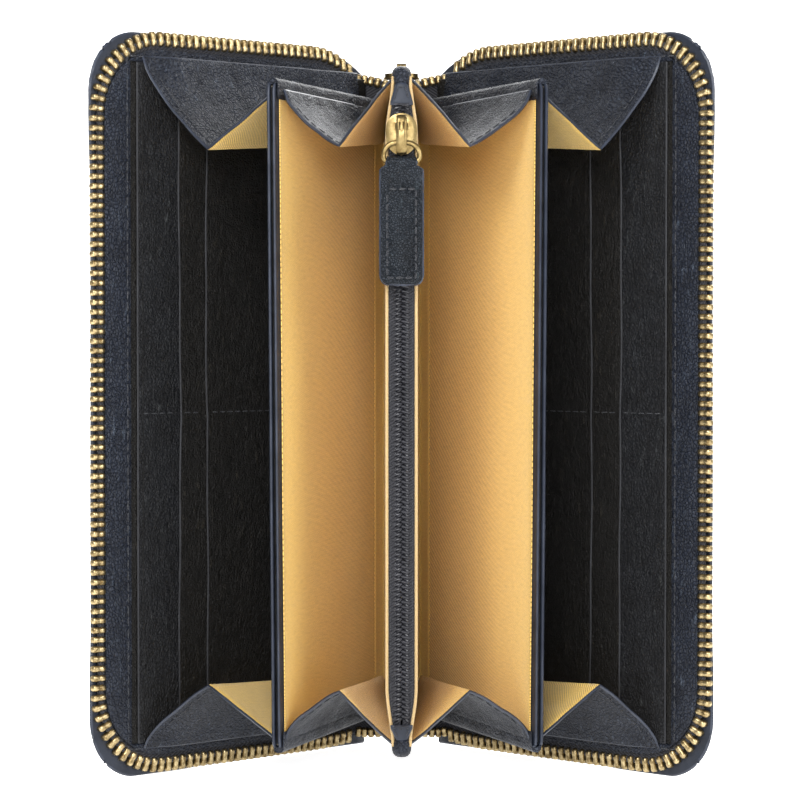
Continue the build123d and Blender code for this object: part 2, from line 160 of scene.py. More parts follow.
def grained_leather(name, dark, light, pebble=1000.0, depth=0.00016, rough=(0.36, 0.56)):
    """Pebbled leather: rounded cells with fine valleys, over broad soft wrinkles."""
    made, tree, shader = material(name, Specular_IOR_Level=0.29)
    where = coordinates(tree)
    warp = texture(tree, where, "ShaderNodeTexNoise", 260.0, Detail=3.0)
    bent = node(tree, "ShaderNodeVectorMath", operation="MULTIPLY_ADD")
    tree.links.new(warp.outputs["Color"], bent.inputs[0])
    bent.inputs[1].default_value = (0.0012, 0.0012, 0.0012)
    tree.links.new(where, bent.inputs[2])
    cells = texture(tree, bent.outputs[0], "ShaderNodeTexVoronoi", pebble,
                    feature="DISTANCE_TO_EDGE")
    domes = ramp(tree, cells.outputs["Distance"], ((0.0, grey(0)), (0.16, grey(0.8)),
                                                   (0.5, grey(1))))
    wrinkles = texture(tree, coordinates(tree, scale=(1, 1, 2.4), turn=(0, 0.6, 0.5)),
                       "ShaderNodeTexNoise", 170.0, Detail=4.0, Roughness=0.6)
    creases = texture(tree, coordinates(tree, scale=(1, 1, 0.42), turn=(0.5, 0.3, 0.9)),
                      "ShaderNodeTexNoise", 620.0, Detail=5.0, Roughness=0.62)
    normal = bump(tree, wrinkles.outputs["Fac"], 0.6, 0.0016)
    normal = bump(tree, creases.outputs["Fac"], 0.75, 0.0009, normal)
    normal = bump(tree, domes, 1.0, depth * 1.9, normal)
    tree.links.new(normal, shader.inputs["Normal"])
    broad = texture(tree, where, "ShaderNodeTexNoise", 120.0, Detail=6.0, Roughness=0.65)
    tint = ramp(tree, broad.outputs["Fac"], ((0.3, dark), (0.72, light)))
    # Painted shade: the colour is darkened towards each pebble's edge, in the valleys between the
    # pebbles.
    valley_shade = node(tree, "ShaderNodeMix", data_type="RGBA", blend_type="MULTIPLY")
    valley_shade.inputs["Factor"].default_value = 0.55
    tree.links.new(tint, valley_shade.inputs["A"])
    tree.links.new(ramp(tree, cells.outputs["Distance"], ((0.0, grey(0.35)), (0.2, grey(1)))),
                   valley_shade.inputs["B"])
    # Painted highlight: a much lighter colour is mixed in on the crests of the fine creases,
    # standing in for glints of light on the grain.
    crest_highlight = node(tree, "ShaderNodeMix", data_type="RGBA", blend_type="MIX")
    tree.links.new(ramp(tree, creases.outputs["Fac"], ((0.60, grey(0)), (0.78, grey(0.55)))),
                   crest_highlight.inputs["Factor"])
    tree.links.new(valley_shade.outputs["Result"], crest_highlight.inputs["A"])
    crest_highlight.inputs["B"].default_value = (light[0] * 6, light[1] * 6, light[2] * 5, 1)
    tree.links.new(crest_highlight.outputs["Result"], shader.inputs["Base Color"])
    gloss = ramp(tree, broad.outputs["Fac"], ((0.3, grey(rough[1])), (0.7, grey(rough[0]))))
    tree.links.new(gloss, shader.inputs["Roughness"])
    return made


def plain_leather(name, dark, light, rough, fine=2600.0, depth=0.00005):
    """Smooth leather or painted edge: fine pores and cloudy colour."""
    made, tree, shader = material(name, Specular_IOR_Level=0.36)
    where = coordinates(tree)
    clouds = texture(tree, where, "ShaderNodeTexNoise", 150.0, Detail=5.0)
    tree.links.new(ramp(tree, clouds.outputs["Fac"], ((0.3, dark), (0.7, light))),
                   shader.inputs["Base Color"])
    tree.links.new(ramp(tree, clouds.outputs["Fac"], ((0.3, grey(rough + 0.08)),
                                                      (0.7, grey(rough - 0.06)))),
                   shader.inputs["Roughness"])
    pores = texture(tree, where, "ShaderNodeTexNoise", fine, Detail=2.0)
    creases = texture(tree, where, "ShaderNodeTexNoise", 420.0, Detail=3.0)
    normal = bump(tree, creases.outputs["Fac"], 0.3, 0.0004)
    tree.links.new(bump(tree, pores.outputs["Fac"], 0.5, depth, normal), shader.inputs["Normal"])
    return made


def woven(name, dark, light, rib, turn, rough=0.8, cross=0.6, depth=0.0001, sheen=0.25):
    """Ribs across a UV map in millimetres, crossed by finer threads."""
    made, tree, shader = material(name, Roughness=rough, Specular_IOR_Level=0.25,
                                  Sheen_Weight=sheen, Sheen_Roughness=0.4)
    along = texture(tree, coordinates(tree, "UV", turn=(0, 0, turn)), "ShaderNodeTexWave",
                    0.314 / rib, Distortion=0.35, Detail=1.0)
    along.inputs["Detail Scale"].default_value = 3.0
    threads = texture(tree, coordinates(tree, "UV", turn=(0, 0, turn + pi / 2)),
                      "ShaderNodeTexWave", 0.314 / rib / cross, Distortion=0.6)
    both = maths(tree, "MULTIPLY_ADD", threads.outputs["Fac"], 0.45)
    tree.links.new(along.outputs["Fac"], both.node.inputs[2])
    slubs = texture(tree, coordinates(tree, "UV", scale=(0.4, 3, 1), turn=(0, 0, turn)),
                    "ShaderNodeTexNoise", 0.6, Detail=5.0)
    tone = maths(tree, "MULTIPLY", both, maths(tree, "ADD", slubs.outputs["Fac"], 0.5))
    tree.links.new(ramp(tree, tone, ((0.1, dark), (0.95, light))), shader.inputs["Base Color"])
    tree.links.new(bump(tree, both, 0.9, depth), shader.inputs["Normal"])
    return made


def metal(name, dark, light, rough, wear=600.0):
    made, tree, shader = material(name, Metallic=1.0)
    where = coordinates(tree)
    tarnish = texture(tree, where, "ShaderNodeTexNoise", wear, Detail=6.0, Roughness=0.65)
    tree.links.new(ramp(tree, tarnish.outputs["Fac"], ((0.35, dark), (0.62, light))),
                   shader.inputs["Base Color"])
    tree.links.new(ramp(tree, tarnish.outputs["Fac"], ((0.3, grey(rough + 0.16)),
                                                       (0.7, grey(rough)))),
                   shader.inputs["Roughness"])
    scratches = texture(tree, where, "ShaderNodeTexNoise", wear * 4, Detail=3.0)
    tree.links.new(bump(tree, scratches.outputs["Fac"], 0.15, 0.00004), shader.inputs["Normal"])
    return made


NAVY = grained_leather("navy_grain", (0.006, 0.008, 0.015), (0.019, 0.024, 0.038))
DARK = grained_leather("card_leather", (0.003, 0.0025, 0.002), (0.008, 0.007, 0.006),
                       pebble=1250.0, depth=0.0001, rough=(0.55, 0.7))
CARD = grained_leather("first_card_leather", (0.003, 0.003, 0.004), (0.011, 0.012, 0.015),
                       pebble=1100.0, depth=0.00012, rough=(0.5, 0.66))
PULL = grained_leather("pull_leather", (0.003, 0.005, 0.009), (0.017, 0.023, 0.032),
                       pebble=1700.0, depth=0.00022, rough=(0.26, 0.46))
SMOOTH = plain_leather("smooth_navy", (0.007, 0.010, 0.018), (0.016, 0.021, 0.034), 0.5)
EDGE = plain_leather("painted_edge", (0.014, 0.018, 0.03), (0.034, 0.041, 0.06), 0.36)
CARD_EDGE = plain_leather("card_edge", (0.003, 0.003, 0.005), (0.009, 0.010, 0.014), 0.55)
THREAD = woven("thread", (0.003, 0.004, 0.008), (0.014, 0.017, 0.028), 0.3, 0.6, rough=0.6)
TWILL = woven("beige_twill", (0.29, 0.15, 0.018), (0.86, 0.58, 0.15), 0.68, radians(38))
CREAM = woven("cream_edge", (0.30, 0.19, 0.07), (0.70, 0.50, 0.24), 0.4, radians(30))
WEBBING = woven("woven_tape", (0.006, 0.006, 0.008), (0.034, 0.034, 0.04), 0.7, radians(60),
                rough=0.7)
COIL = plain_leather("nylon_coil", (0.012, 0.012, 0.015), (0.03, 0.03, 0.036), 0.28)
BRASS = metal("antique_brass", (0.15, 0.10, 0.04), (0.58, 0.46, 0.25), 0.3, wear=700.0)
GOLD = metal("pale_gold", (0.16, 0.11, 0.042), (0.30, 0.225, 0.10), 0.26)
BLACKENED = metal("blackened_metal", (0.01, 0.01, 0.012), (0.04, 0.04, 0.045), 0.4)
BOARD = plain_leather("fibre_board", (0.25, 0.21, 0.16), (0.4, 0.35, 0.28), 0.85)


# ------------------------------------------------------------- mesh making
class Form:
    """Collects vertices in millimetres, faces, face materials and UVs."""

    def __init__(self):
        self.points, self.uvs, self.faces, self.mats = [], [], [], []

    def add(self, point, uv=(0.0, 0.0)):
        self.points.append(point)
        self.uvs.append(uv)
        return len(self.points) - 1

    def face(self, corners, mat=0):
        if len(set(corners)) > 2:
            self.faces.append(corners)
            self.mats.append(mat)

    def grid(self, rows, mat=0, uv=None, wrap=False, caps=False):
        """A net of points, closed round its rows if wrap is set."""
        index = [[self.add(p, uv[i][j] if uv else (i, j)) for j, p in enumerate(row)]
                 for i, row in enumerate(rows)]
        wide = len(index[0])
        for i in range(len(index) - 1):
            for j in range(wide if wrap else wide - 1):
                k = (j + 1) % wide
                self.face((index[i][j], index[i + 1][j], index[i + 1][k], index[i][k]), mat)
        if caps:
            self.face(tuple(reversed(index[0])), mat)
            self.face(tuple(index[-1]), mat)
        return index

    def tube(self, path, radius, sides=6, mat=0):
        """A round bar along a path; radius is a number or one per point."""
        rows = []
        guide = Vector((0.13, 0.27, 0.95)).normalized()
        for i, p in enumerate(path):
            ahead = (path[min(i + 1, len(path) - 1)] - path[max(i - 1, 0)]).normalized()
            side = ahead.cross(guide)
            if side.length < 1e-4:
                side = ahead.cross(Vector((1, 0, 0)))
            side.normalize()
            over = side.cross(ahead)
            r = radius[i] if hasattr(radius, "__len__") else radius
            rows.append([p + side * (r * cos(2 * pi * k / sides))
                         + over * (r * sin(2 * pi * k / sides)) for k in range(sides)])
        self.grid(rows, mat, wrap=True, caps=True)

    def skin(self, surface, nu, nv, thick, mats=(0, 0, 0), size=None, swell=0.45):
        """A sheet of material with two faces and a rounded rim.

        surface(s, t) is the front face; the back lies `thick` behind it."""
        step = 1e-3
        front, back, facing, uv = [], [], [], []
        for i in range(nu + 1):
            rows = [[], [], [], []]
            for j in range(nv + 1):
                s, t = i / nu, j / nv
                p = surface(s, t)
                a, b = min(s + step, 1), max(s - step, 0)
                c, d = min(t + step, 1), max(t - step, 0)
                along, across = surface(a, t) - surface(b, t), surface(s, c) - surface(s, d)
                n = along.cross(across).normalized()
                rows[0].append(p)
                rows[1].append(p - n * thick)
                rows[2].append(n)
                rows[3].append((s * size[0], t * size[1]) if size else (p.y, p.z))
            for store, row in zip((front, back, facing, uv), rows):
                store.append(row)
        near = self.grid(front, mats[0], uv)
        far = self.grid([row[::-1] for row in back], mats[1], [row[::-1] for row in uv])
        far = [row[::-1] for row in far]
        ring = ([(i, 0) for i in range(nu)] + [(nu, j) for j in range(nv)]
                + [(i, nv) for i in range(nu, 0, -1)] + [(0, j) for j in range(nv, 0, -1)])
        middle = []
        for k, (i, j) in enumerate(ring):
            before, after = ring[k - 1], ring[(k + 1) % len(ring)]
            run = front[after[0]][after[1]] - front[before[0]][before[1]]
            out = run.cross(facing[i][j]).normalized()
            middle.append(self.add(front[i][j] - facing[i][j] * (thick / 2)
                                   + out * (thick * swell), uv[i][j]))
        for k, (i, j) in enumerate(ring):
            a, b = ring[(k + 1) % len(ring)]
            m, n = middle[k], middle[(k + 1) % len(ring)]
            self.face((near[i][j], m, n, near[a][b]), mats[2])
            self.face((m, far[i][j], far[a][b], n), mats[2])

    def build(self, name, materials, slot, body=None, stands_for=(), sharp=62.0):
        mesh = bpy.data.meshes.new(name)
        mesh.from_pydata([p * 0.001 for p in self.points], [], self.faces)
        for made in materials:
            mesh.materials.append(made)
        mesh.polygons.foreach_set("material_index", self.mats)
        layer = mesh.uv_layers.new(name="UVMap")
        for loop in mesh.loops:
            layer.data[loop.index].uv = self.uvs[loop.vertex_index]
        work = bmesh.new()
        work.from_mesh(mesh)
        bmesh.ops.remove_doubles(work, verts=work.verts, dist=1e-7)
        bmesh.ops.recalc_face_normals(work, faces=work.faces)
        work.to_mesh(mesh)
        work.free()
        mesh.shade_smooth()
        mesh.set_sharp_from_angle(angle=radians(sharp))
        made = bpy.data.objects.new(name, mesh)
        bpy.context.scene.collection.objects.link(made)
        if body:
            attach(made, body)
        if stands_for:
            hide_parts(*stands_for)
        return made


def stitches(form, path, mat=0, long=2.3, gap=0.75, radius=0.23):
    """Thread lying along a path as short rounded dashes."""
    lengths = [0.0]
    for a, b in zip(path, path[1:]):
        lengths.append(lengths[-1] + (b - a).length)

    def at(run):
        for k in range(len(path) - 1):
            if run <= lengths[k + 1] or k == len(path) - 2:
                share = (run - lengths[k]) / max(lengths[k + 1] - lengths[k], 1e-6)
                return path[k].lerp(path[k + 1], min(max(share, 0), 1))

    run = gap
    while run + long < lengths[-1]:
        ends = [at(run), at(run + long * 0.3), at(run + long * 0.7), at(run + long)]
        form.tube(ends, (radius * 0.6, radius, radius, radius * 0.6), 6, mat)
        run += long + gap


def ease(t):
    return 0.5 - 0.5 * cos(pi * t)


def smooth(t):
    t = min(max(t, 0.0), 1.0)
    return t * t * (3 - 2 * t)


def squarish(angle, power):
    """A point of a unit circle, pushed out towards a square by a power under 1."""
    across, up = cos(angle), sin(angle)
    return copysign(abs(across) ** power, across), copysign(abs(up) ** power, up)


# ------------------------------------------------------------- where things are
def side_name(side):
    return "left" if side < 0 else "right"


def turned(side, layer, depth, z, angle):
    """A point of a panel that has opened by an angle about its side's fold line."""
    out = layer - FOLD_X
    if depth < 0 and out > 0:                    # round the fold, at the same radius
        angle, depth = angle - depth / out, 0.0
    return Vector((side * (FOLD_X + out * cos(angle) + depth * sin(angle)),
                   FOLD_Y + out * sin(angle) - depth * cos(angle), z))


def on_cover(side):
    def place(layer, depth, z):
        bow = COVER_BOW * sin(pi * min(max(depth, 0.0), 100.0) / 100.0)
        return turned(side, layer - bow, depth, z, COVER)
    return place


def on_divider(side):
    low, high = LEAN[side]

    def place(layer, depth, z):
        lean = radians(low + (high - low) * z / HEIGHT)
        return turned(side, layer, depth, z, DIVIDER[side] + lean)
    return place


def pinch(depth, z):
    """How much narrower the coin pocket is towards its two closed mouth corners."""
    end = min(z - POCKET_LOW, POCKET_HIGH - z)
    return 1 - 0.42 * (1 - smooth((end - 1.0) / 15.0)) * smooth(depth / 60.0)


def on_pocket(side):
    def place(layer, depth, z):
        return Vector((side * layer * pinch(depth, z), FOLD_Y - depth, z))
    return place


def outline(mouth_depth, low, high, corner=0.0, start=0.0, recess=0.0, dip=0.0):
    """Depth and height over a panel with rounded mouth corners, from s, t in 0 to 1.

    recess draws the straight runs in, which leaves the corners standing out."""
    cut = corner * (1 - cos(pi / 4))

    def drop(over):
        return corner - sqrt(max(corner ** 2 - max(over, 0.0) ** 2, 0.0))

    def mouth(z):
        inset = min(z - low, high - z)
        return mouth_depth - drop(corner - inset) - recess * smooth((inset - EAR_LONG) / 14)

    def point(s, t):
        s, t = sin(pi / 2 * s), ease(t)
        at_end = start + s * (mouth_depth - cut - start)
        end = drop(at_end - mouth_depth + corner)
        end += recess * smooth((mouth_depth - EAR_LONG - at_end) / 14)
        z_mouth = low + cut + t * (high - low - 2 * cut)
        fall = dip * max(1 - at_end / 18.0, 0.0) ** 2
        return (start + s * (mouth(z_mouth) - start),
                low + end + t * (high - low - 2 * end - fall))
    return point


def panel(name, place, shape, layers, materials, slot, body, stands_for=(), net=(24, 40),
          ripple=0.0, form=None):
    """A panel between two layers; `layers` runs from the visible face to the hidden one."""
    form = form or Form()
    side = 1 if place(OUTSIDE, DIVIDER_DEPTH / 2, 0.0).x > 0 else -1

    def surface(s, t):
        if side * (layers[1] - layers[0]) < 0:
            t = 1 - t
        depth, z = shape(s, t)
        wave = ripple * (noise.noise(Vector((depth * 0.035, z * 0.02, layers[0]))) + 0.3)
        return place(layers[0] - wave * (1 if layers[1] > layers[0] else -1), depth, z)

    form.skin(surface, net[0], net[1], abs(layers[1] - layers[0]), (0, 1, 2),
              size=(90, 180))
    return form.build(name, materials, slot, body, stands_for)


# ------------------------------------------------------------- camera, floor and light
camera = bpy.data.objects.new("camera", bpy.data.cameras.new("camera"))
bpy.context.scene.collection.objects.link(camera)
bpy.context.scene.camera = camera
camera.data.lens = 136.0
camera.data.sensor_width = 36.0
camera.location = (-0.0004, -0.8105, 0.1185)
camera.rotation_euler = (radians(88.58), 0, 0)


def softbox(name, place, aim, size, power):
    data = bpy.data.lights.new(name, "AREA")
    data.shape = "RECTANGLE"
    data.size, data.size_y = size
    data.energy = power
    made = bpy.data.objects.new(name, data)
    bpy.context.scene.collection.objects.link(made)
    made.location = place
    made.rotation_euler = (Vector(aim) - Vector(place)).to_track_quat("-Z", "Y").to_euler()


softbox("key", (-0.3, -0.8, 0.78), (0, 0, 0.1), (0.45, 0.45), 8.8)
softbox("fill", (0.8, -0.6, 0.45), (0, 0, 0.1), (0.5, 0.6), 6.0)
softbox("front", (0.0, -1.1, 0.4), (0, 0, 0.1), (0.3, 0.3), 4.6)
softbox("rim", (0.2, 0.7, 0.7), (0, 0, 0.12), (0.8, 0.5), 5.0)

floor = bpy.data.meshes.new("floor")
floor.from_pydata([(-4, -4, 0), (4, -4, 0), (4, 2, 0), (-4, 2, 0), (-4, 2, 3), (4, 2, 3)], [],
                  [(0, 1, 2, 3), (3, 2, 5, 4)])
floor_object = bpy.data.objects.new("floor", floor)
bpy.context.scene.collection.objects.link(floor_object)
pale, tree, shader = material("pale_floor", Roughness=0.9, Specular_IOR_Level=0.1,
                              Emission_Strength=0.93)
shader.inputs["Base Color"].default_value = (0.93, 0.93, 0.93, 1)
shader.inputs["Emission Color"].default_value = (1, 1, 1, 1)
floor.materials.append(pale)
world = bpy.data.worlds.new("white")
bpy.context.scene.world = world
world.use_nodes = True
world.node_tree.nodes["Background"].inputs[0].default_value = (1, 1, 1, 1)
world.node_tree.nodes["Background"].inputs[1].default_value = 0.4
bpy.context.scene.view_settings.view_transform = "Standard"


# ------------------------------------------------------------- spine
def make_spine():
    """The spine's leather and lining, and the ends of the main zip's tape."""
    def skin_point(layer, run, z):
        """Flat across the back, and rounded some way over each fold."""
        radius = layer - FOLD_X
        flat = 2 * FOLD_X
        arc = radius * SPINE_TURN
        total = flat + 2 * arc
        where = (run - 0.5) * total
        if abs(where) <= flat / 2:
            return Vector((where, FOLD_Y + radius, z))
        turn = (abs(where) - flat / 2) / radius
        return Vector(((1 if where > 0 else -1) * (FOLD_X + radius * sin(turn)),
                       FOLD_Y + radius * cos(turn), z))

    form = Form()
    notch = 4.4
    half_wide = 9.5

    def surface(s, t):
        centre = 1 - smooth((abs(s - 0.5) * 2 * half_wide - notch) / 2.0)
        dip_top = 8.0 + 6.6 * centre
        dip_low = 3.0 + 2.0 * centre
        t = ease(t)
        z = 0.2 + dip_low + t * (HEIGHT - 0.4 - dip_low - dip_top)
        return skin_point(OUTSIDE, 1 - s, z)

    form.skin(surface, 40, 60, 1.1, (0, 1, 2), size=(20, 190))
    form.build("spine_leather_skin", (NAVY, SMOOTH, EDGE), "navy_leather", "root",
               ["spine_leather"])
    form = Form()
    form.skin(lambda s, t: Vector((5.2 * s - 2.6, FOLD_Y + 4.7,
                                   POCKET_LOW + t * (POCKET_HIGH - POCKET_LOW))),
              4, 40, 0.4, (0, 0, 0), size=(5.2, 172))
    lining = form.build("spine_lining_twill", (TWILL,), "twill_lining", "root",
                        ["spine_lining"])
    form = Form()
    for low, high in ((148.0, HEIGHT - 15.0), (4.5, 38.0)):
        form.skin(lambda s, t: Vector((3.2 - 6.4 * s, FOLD_Y + 5.45, low + t * (high - low))),
                  4, 12, 0.3, (0, 0, 0), size=(9, high - low))
    form.build("main_zip_tape_ends", (WEBBING,), "zip_tape", "root", ["main_zip_tails"])


# ------------------------------------------------------------- covers
STRAIGHT = TAPE_EDGE_DEPTH - TAPE_CORNER - TEETH_START
ARC = TAPE_CORNER * pi / 2
TOTAL = 2 * STRAIGHT + 2 * ARC + HEIGHT - 2 * (TAPE_EDGE_END + TAPE_CORNER)


def zip_path(run):
    """Depth, height and outward turn along the tape's edge, from the bottom spine end."""
    half = min(run, TOTAL - run)
    top = run > TOTAL / 2
    if half < STRAIGHT:
        depth, z, turn = TEETH_START + half, TAPE_EDGE_END, pi / 2
    elif half < STRAIGHT + ARC:
        turn = (half - STRAIGHT) / TAPE_CORNER
        depth = TAPE_EDGE_DEPTH - TAPE_CORNER + TAPE_CORNER * sin(turn)
        z = TAPE_EDGE_END + TAPE_CORNER - TAPE_CORNER * cos(turn)
        turn = pi / 2 - turn
    else:
        depth, turn = TAPE_EDGE_DEPTH, 0.0
        z = TAPE_EDGE_END + TAPE_CORNER + half - STRAIGHT - ARC
    dip = 0.0
    if half < 16:
        dip = (5.5 if top else 1.0) * (1 - half / 16.0) ** 2
    if top:
        return depth, HEIGHT - z - dip, -turn
    return depth, z + dip, turn


def along_zip(steps):
    """Even steps along the whole tape: the run, then what zip_path says there."""
    for i in range(steps + 1):
        run = TOTAL * i / steps
        yield (run,) + zip_path(min(max(run, 0.01), TOTAL - 0.01))


# A tooth's sections: how far out from the tape's edge, half width and half thickness.
TOOTH_SIDES = 10
TOOTH = ((-0.85, 0.45, 0.9), (-0.65, 0.78, 1.25), (-0.1, 0.90, 1.42), (0.5, 0.88, 1.40),
         (1.0, 0.80, 1.22), (1.5, 0.80, 1.16), (2.1, 0.86, 1.2), (2.7, 0.80, 1.05),
         (3.0, 0.5, 0.7))


def add_tooth(form, reach_to):
    """One zip tooth; reach_to(outward, along, thickness) gives a point of it."""
    rows = []
    for reach, wide, thick in TOOTH:
        round_it = [squarish(2 * pi * k / TOOTH_SIDES, 0.7) for k in range(TOOTH_SIDES)]
        rows.append([reach_to(reach, wide * w, thick * h) for w, h in round_it])
    form.grid(rows, wrap=True, caps=True)


def make_teeth(side, first):
    """One row of teeth round a cover; `first` is where its first tooth is."""
    place = on_cover(side)
    form = Form()
    run = first
    while run < TOTAL - PITCH / 2:
        depth, z, turn = zip_path(run)
        out, along = (cos(turn), -sin(turn)), (sin(turn), cos(turn))
        shift = 0.08 * noise.noise(Vector((run * 0.7, side, 0)))

        def reach_to(reach, w, h):
            return place(CHAIN_LAYER + h, depth + out[0] * reach + along[0] * (w + shift),
                         z + out[1] * reach + along[1] * (w + shift))

        add_tooth(form, reach_to)
        run += PITCH
    name = side_name(side)
    form.build(name + "_brass_teeth", (BRASS,), "antique_brass", name + "_cover",
               [name + "_zip_teeth"], sharp=75)


def make_zip_bridges():
    """The few teeth and the tape that run from each cover to the spine's middle."""
    for side in (-1, 1):
        cover = side_name(side) + "_cover"
        place = on_cover(side)
        for top in (True, False):
            teeth, tape = Form(), Form()
            sign = 1 if top else -1
            depth, z = zip_path(TOTAL - 0.1 if top else 0.1)[:2]
            start = place(CHAIN_LAYER, depth, z)
            stop = Vector((side * 3.4, FOLD_Y - 1.6, 185.2 if top else 4.6))
            knee = Vector((side * 9.2, FOLD_Y + 1.2, (z + stop.z) / 2 + sign * 1.2))

            def along_curve(u):
                return (start * (1 - u) ** 2 + knee * (2 * u * (1 - u)) + stop * u ** 2)

            up = Vector((0, 0, sign))
            for k in range(BRIDGE_TEETH):
                u = (k + 0.8) / (BRIDGE_TEETH + 0.3)
                p = along_curve(u)
                ahead = (along_curve(min(u + 0.02, 1)) - along_curve(u - 0.02)).normalized()
                across = ahead.cross(up).normalized()
                lean = (up - ahead * up.dot(ahead)).normalized()
                add_tooth(teeth, lambda reach, w, h: p + lean * (reach * 0.7 - 0.6) + ahead * w
                          + across * h)
            rows, uv = [], []
            for k in range(13):
                u = k / 12
                p = along_curve(u)
                ahead = (along_curve(min(u + 0.02, 1)) - along_curve(max(u - 0.02, 0)))
                across = ahead.cross(up).normalized() * side * sign
                rows.append([p + up * h - across * w for h, w in
                             ((-5.5, 0.2), (-0.5, 0.25), (0.0, 0.55), (0.8, 0.5), (1.0, 0.0),
                              (0.8, -0.5), (0.0, -0.55), (-0.5, -0.25), (-5.5, -0.2))])
                uv.append([(u * 14, h) for h in (-5.5, -0.5, 0, 0.8, 1, 0.8, 0, -0.5, -5.5)])
            tape.grid(rows, uv=uv, wrap=True, caps=True)
            end = "%s_bridge_%s_" % (cover, "top" if top else "bottom")
            for made in (teeth.build(end + "teeth", (BRASS,), "antique_brass", sharp=75),
                         tape.build(end + "tape", (WEBBING,), "zip_tape")):
                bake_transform(made)


def make_tape(side):
    """The woven tape with its rolled edge, which the teeth are clamped on."""
    place = on_cover(side)
    name = side_name(side)
    form = Form()
    section = [(-6.4, 11.3), (-3.0, 11.22), (-0.5, 11.2), (-0.1, 10.95), (0.5, 10.85),
               (0.95, 11.15), (1.0, 11.5), (0.9, 11.85), (0.5, 12.1), (-0.1, 12.0),
               (-0.5, 11.7), (-3.0, 11.7), (-6.4, 11.6)]
    rows, uv = [], []
    for run, depth, z, turn in along_zip(240):
        rows.append([place(layer, depth + cos(turn) * w, z - sin(turn) * w)
                     for w, layer in section])
        uv.append([(run, w + layer) for w, layer in section])
    form.grid(rows, uv=uv, wrap=True, caps=True)
    form.build(name + "_main_zip_tape", (WEBBING,), "zip_tape", name + "_cover",
               [name + "_zip_tape"])


def make_facing(side):
    """The leather strip between the zip and the card panels, padded a little."""
    place = on_cover(side)
    name = side_name(side)
    form = Form()
    low, high = MARGIN_HIGH + MARGIN_WIDE, HEIGHT - MARGIN_HIGH - MARGIN_WIDE
    rows, uv = [], []
    for run, depth, z, turn in along_zip(200):
        inset = 0.9 + 0.9 * abs(sin(turn)) ** 2
        outer = (depth - cos(turn) * inset, z + sin(turn) * inset)
        inner = (min(depth, MARGIN_DEPTH), min(max(z, low), high))

        def between(w):
            return outer[0] + (inner[0] - outer[0]) * w, outer[1] + (inner[1] - outer[1]) * w

        row, marks = [], []
        for k in range(9):
            w = k / 8
            d, h = between(w)
            crown = 0.42 * sin(pi * min(max(w, 0.02), 0.98)) ** 0.5
            crown += 0.10 * noise.noise(Vector((d * 0.3, h * 0.3, side)))
            row.append(place(10.62 - crown, d, h))
            marks.append((run, w * 9))
        for k in (1.0, 0.0):
            row.append(place(11.2, *between(k)))
            marks.append((run, 9 + k))
        rows.append(row)
        uv.append(marks)
    form.grid(rows, uv=uv, wrap=True, caps=True)
    inset = 1.3
    line = [(5.0, low - inset), (MARGIN_DEPTH + inset, low - inset),
            (MARGIN_DEPTH + inset, high + inset), (5.0, high + inset)]
    fine = []
    for (a, b), (c, d) in zip(line, line[1:]):
        fine += [place(10.28, a + (c - a) * q / 30, b + (d - b) * q / 30) for q in range(31)]
    stitches(form, fine, mat=1, radius=0.2)
    form.build(name + "_zip_facing_strip", (NAVY, THREAD), "navy_leather", name + "_cover",
               [name + "_zip_facing"])


def make_cover(side):
    """Outer leather, board, lining, three stepped card panels, and the zip's half."""
    name = side_name(side)
    body = name + "_cover"
    place = on_cover(side)
    panel(name + "_cover_skin", place,
          outline(EAR_DEPTH, 0.3, HEIGHT - 1.3, EAR_CORNER, 0.3, EAR_RECESS, COVER_DIP),
          (OUTSIDE, 11.9), (NAVY, SMOOTH, EDGE), "navy_leather", body,
          [name + "_cover_leather"], net=(44, 90), ripple=0.35)
    form = Form()
    run_on, run_round = 2.4, radians(58) * 5.8

    def tail(s, t):
        """Leather that runs on past the cover's edge, round the fold under the spine's."""
        z = 3.0 + (1 - t if side < 0 else t) * (HEIGHT - 14)
        return place(11.8, run_on - s * (run_on + run_round), z)

    form.skin(tail, 14, 30, 0.5, (0, 1, 2), size=(8, 190))
    form.build(name + "_cover_fold_leather", (NAVY, SMOOTH, EDGE), "navy_leather", body)
    panel(name + "_cover_stiffener", place, outline(90.8, 10.2, HEIGHT - 10.2, 13.5, 3.0),
          (11.25, 11.85), (BOARD, BOARD, BOARD), "board", body, [name + "_cover_board"])
    panel(name + "_cover_inner_panel", place, outline(MARGIN_DEPTH - 0.1, CARD_LOW - 0.3,
                                                      HEIGHT - CARD_LOW + 0.3, 0, 3.0),
          (10.75, 11.15), (DARK, DARK, DARK), "card_leather", body, [name + "_cover_lining"])
    for index, (edge, front) in enumerate(zip(CARD_EDGES[side], CARD_FRONT)):
        form = Form()

        def shape(s, t, edge=edge, index=index):
            t = ease(t)
            z = CARD_LOW + t * (HEIGHT - 2 * CARD_LOW)
            wave = 0.28 * sin(z * 0.043 + index * 1.7 + side) + 0.12 * sin(z * 0.17 + index)
            away = abs(z - CARD_STITCH)
            wave -= 0.25 * (1 - smooth(away / 4.0)) * (index > 0)
            return 3.2 + sin(pi / 2 * s) * (edge + wave * (index > 0) - 3.2), z

        path = []
        before = CARD_EDGES[side][index + 1] if index < 2 else 5.0
        for k in range(30):
            path.append(place(front + 0.02, edge - 0.8 + (before - edge + 1.2) * k / 29,
                              CARD_STITCH))
        stitches(form, path, mat=3, radius=0.17, long=2.0)
        crease = [place(front - 0.02, shape(1, (k + 0.5) / 61)[0] - 1.5,
                        CARD_LOW + ease((k + 0.5) / 61) * (HEIGHT - 2 * CARD_LOW))
                  for k in range(61)]
        form.tube(crease, 0.09, 5, mat=1)
        panel("%s_card_pocket_%d" % (name, index + 1), place, shape, (front, front + 0.66),
              (CARD if index == 0 else DARK, DARK, CARD_EDGE, THREAD), "card_leather", body,
              ["%s_card_panel_%d" % (name, index + 1)], net=(26, 64), ripple=0.10, form=form)
    make_tape(side)
    make_facing(side)
    make_teeth(side, PITCH if side < 0 else PITCH / 2)


